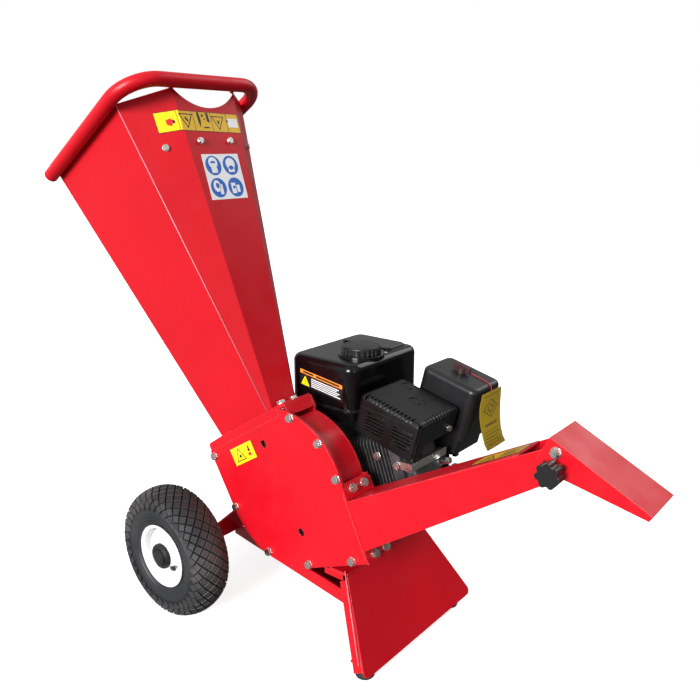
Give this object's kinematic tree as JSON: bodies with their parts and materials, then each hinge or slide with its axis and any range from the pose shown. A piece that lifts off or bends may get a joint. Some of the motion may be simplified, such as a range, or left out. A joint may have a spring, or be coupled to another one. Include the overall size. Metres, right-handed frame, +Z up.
{
  "type": "wood chipper",
  "caption": "Petrol wood chipper with a tilted feed hopper, a round rotor casing, a discharge chute with a tilting hood, an engine, two wheels and a support leg.",
  "frame": {"origin": "on the ground under the middle of the machine's outline", "axes": "+Z up, +X along the discharge chute away from the wheels, -Y on the side of the rotor casing's front plate"},
  "size_m": [1.104, 0.5152, 0.9987],
  "materials": {
    "red_paint": "gloss powder coat",
    "black_gloss": "gloss",
    "black_heat_paint": "matte",
    "wheel_white": "satin",
    "steel": "machined",
    "zinc": "bright zinc plated",
    "cast_iron": "cast",
    "aluminium": "as cast",
    "tyre": "moulded",
    "rubber": "matte",
    "black_plastic": "fine grain",
    "maroon_plastic": "satin",
    "yellow_plastic": "satin",
    "switch_red": "satin",
    "tag_paper": "coated",
    "string_red": "twisted"
  },
  "bodies": {
    "frame": {"axle": "steel", "axle_collars": "black_plastic", "axle_beam": "red_paint", "frame_rails": "red_paint", "deck_plate": "red_paint", "leg": "red_paint", "rubber_feet": "rubber", "engine_pads": "black_plastic", "m8_bolts": "zinc", "m6_bolts": "zinc", "casing_front_plate": "red_paint", "casing_back_plate": "red_paint", "casing_wall": "red_paint", "bed_knife": "steel", "hopper_base": "red_paint", "hopper_panels": "red_paint", "feed_flap": "rubber", "handle_rail": "red_paint", "chute": "red_paint", "pivot_bolts": "zinc", "crankcase": "aluminium", "side_cover": "aluminium", "cylinder": "aluminium", "cylinder_head": "aluminium", "rocker_cover": "aluminium", "spark_plug": "zinc", "muffler": "steel", "muffler_cover": "black_heat_paint", "exhaust_deflector": "zinc", "air_cleaner_base": "black_plastic", "air_cleaner_cover": "black_plastic", "carburettor": "aluminium", "fuel_tank": "black_gloss", "fan_cover": "black_gloss", "recoil_cover": "black_gloss", "engine_brackets": "black_heat_paint", "oil_caps": "yellow_plastic", "hang_tag": "tag_paper", "tag_string": "string_red"},
    "wheel_front": {"tyre_front": "tyre", "rim_front": "wheel_white", "hub_front": "black_plastic"},
    "wheel_back": {"tyre_back": "tyre", "rim_back": "wheel_white", "hub_back": "black_plastic"},
    "rotor_assembly": {"rotor": "steel", "rotor_knives": "steel", "crankshaft": "steel", "flywheel": "cast_iron", "starter_cup": "steel"},
    "deflector_hood": {"deflector": "red_paint"},
    "clamp": {"clamp_knob": "black_plastic", "clamp_stud": "zinc"},
    "air_cleaner_knob": {"wing_knob": "maroon_plastic"},
    "tank_cap": {"fuel_cap": "black_plastic"},
    "pull_grip": {"starter_grip": "black_plastic"},
    "throttle": {"throttle_lever": "black_plastic"},
    "choke": {"choke_lever": "black_plastic"},
    "fuel_valve": {"fuel_lever": "black_plastic"},
    "stop_switch": {"engine_switch": "switch_red"}
  },
  "joints": [
    {"name": "wheel_front_spin", "type": "hinge", "parent": "frame", "child": "wheel_front", "pos_m": [-0.29146, -0.2104, 0.128], "axis": [0, 1, 0], "continuous": true},
    {"name": "wheel_back_spin", "type": "hinge", "parent": "frame", "child": "wheel_back", "pos_m": [-0.29146, 0.2176, 0.128], "axis": [0, 1, 0], "continuous": true},
    {"name": "rotor_spin", "type": "hinge", "parent": "frame", "child": "rotor_assembly", "pos_m": [-0.09346, -0.0814, 0.2815], "axis": [0, -1, 0], "continuous": true},
    {"name": "deflector_tilt", "type": "hinge", "parent": "frame", "child": "deflector_hood", "pos_m": [0.42204, -0.0794, 0.492], "axis": [0, -1, 0], "range_deg": [-20, 45]},
    {"name": "clamp_turn", "type": "hinge", "parent": "frame", "child": "clamp", "pos_m": [0.42548, -0.1264, 0.47027], "axis": [0, -1, 0], "continuous": true},
    {"name": "air_cleaner_knob_turn", "type": "hinge", "parent": "frame", "child": "air_cleaner_knob", "pos_m": [0.10285, 0.1636, 0.46621], "axis": [0.2419, 0, 0.9703], "continuous": true},
    {"name": "tank_cap_turn", "type": "hinge", "parent": "frame", "child": "tank_cap", "pos_m": [-0.05146, 0.0616, 0.51], "axis": [0, 0, 1], "continuous": true},
    {"name": "pull_grip_slide", "type": "slide", "parent": "frame", "child": "pull_grip", "axis": [-1, 0, 0], "range_m": [0, 0.1], "stiffness_N_per_m": 150, "springref_m": -0.05},
    {"name": "throttle_turn", "type": "hinge", "parent": "frame", "child": "throttle", "pos_m": [-0.03346, 0.1716, 0.356], "axis": [0, -1, 0], "range_deg": [-20, 20]},
    {"name": "choke_turn", "type": "hinge", "parent": "frame", "child": "choke", "pos_m": [0.05454, 0.1846, 0.296], "axis": [0, -1, 0], "range_deg": [-20, 20]},
    {"name": "fuel_valve_turn", "type": "hinge", "parent": "frame", "child": "fuel_valve", "pos_m": [0.05454, 0.1846, 0.264], "axis": [0, -1, 0], "range_deg": [-20, 20]},
    {"name": "stop_switch_turn", "type": "hinge", "parent": "frame", "child": "stop_switch", "pos_m": [-0.18946, 0.1466, 0.37], "axis": [0, -1, 0], "range_deg": [0, 45]}
  ]
}
